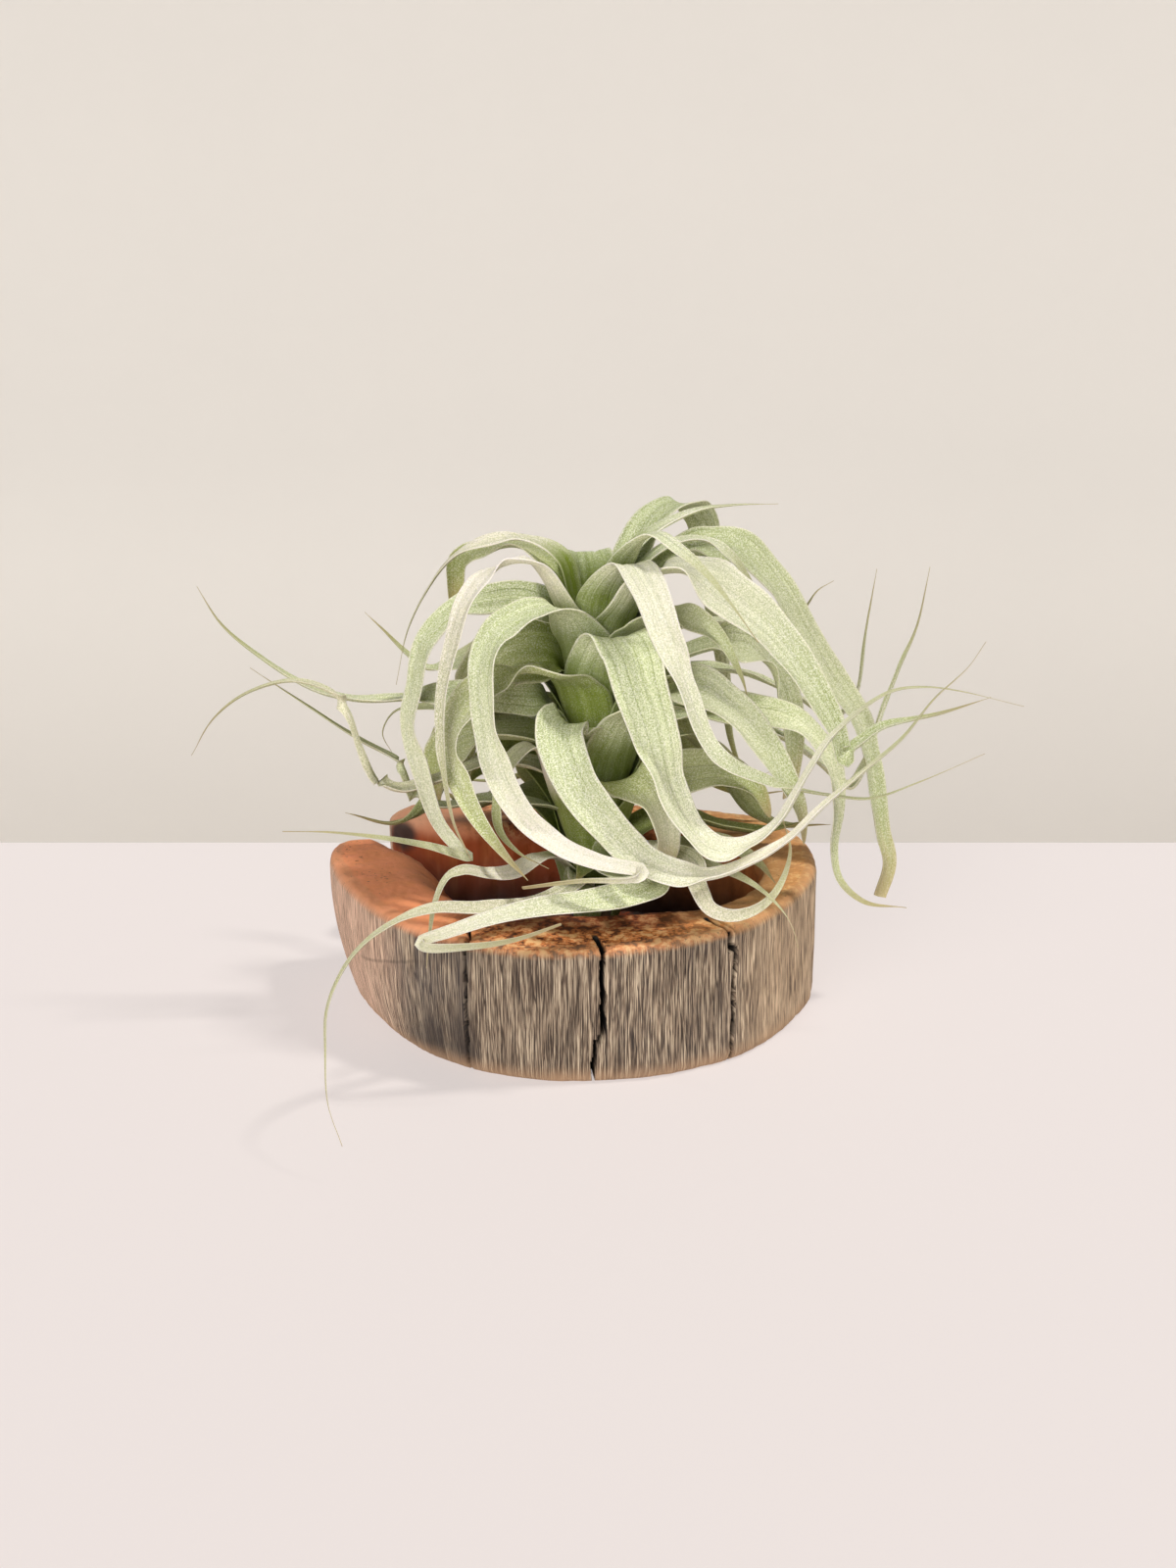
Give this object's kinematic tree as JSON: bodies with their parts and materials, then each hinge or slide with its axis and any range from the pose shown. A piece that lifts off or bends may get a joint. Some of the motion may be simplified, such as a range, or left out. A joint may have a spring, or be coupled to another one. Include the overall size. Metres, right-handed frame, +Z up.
{
  "type": "air plant",
  "caption": "Strap-leaved air plant with silvery leaves that arch, curl and hook around a short stem, resting in the hollow of a half-moon slice of weathered log.",
  "frame": {"origin": "centre of the slab's flat underside, on the surface it stands on", "axes": "+Z up; +X along the slab, away from the notch that leads into its hollow; +Y towards the slab's back, so the curved face with the cracks looks along -Y"},
  "size_m": [0.2494, 0.2185, 0.1587],
  "materials": {
    "wood": "weathered grey-brown grain on the sides, tan to reddish cut top",
    "stem": "matt, dry leaf bases",
    "silver": "matt, silvery scales over pale green",
    "green": "matt, greener where shaded",
    "rosy": "matt, pinkish to straw-coloured towards the tip"
  },
  "bodies": {
    "root": {"wood_slab": "wood", "stem": "stem", "leaf_top_tip": "silver", "leaf_outer_thread": "rosy", "leaf_young_tip": "silver", "leaf_apex_back": "silver", "leaf_pale_strip": "silver", "leaf_crest": "silver", "leaf_olive_flag": "green", "leaf_back_top": "silver", "leaf_rosy_arch": "rosy", "leaf_right_sweep": "silver", "leaf_left_arch": "silver", "leaf_right_arch": "silver", "leaf_great_arch": "silver", "leaf_rear_cascade": "silver", "leaf_shoulder_blade": "silver", "leaf_far_tip_c": "silver", "leaf_left_shoulder": "green", "leaf_cascade": "silver", "leaf_rear_right": "silver", "leaf_far_left_tip": "silver", "leaf_inner_arch": "green", "leaf_bright_blade": "silver", "leaf_rear_left": "silver", "leaf_far_tip_a": "silver", "leaf_left_whip_a": "silver", "leaf_right_hook": "silver", "leaf_rear_bow": "silver", "leaf_bow": "silver", "leaf_far_tip_b": "silver", "leaf_left_loop": "silver", "leaf_right_fan": "silver", "leaf_wide_shade": "green", "leaf_rear_right_low": "silver", "leaf_left_whip_b": "rosy", "leaf_centre_hook": "green", "leaf_rear_low": "green", "leaf_left_whip_c": "silver", "leaf_low_right": "green", "leaf_small_cup": "green", "leaf_swag": "rosy", "leaf_low_left": "green", "leaf_right_base": "green", "leaf_front_blade": "silver", "leaf_rear_shelf": "green", "leaf_low_sheath": "green", "leaf_right_thread": "silver", "leaf_rear_base": "green", "leaf_hook": "rosy", "leaf_recess_leaf": "rosy", "leaf_overhang": "rosy"}
  },
  "joints": []
}
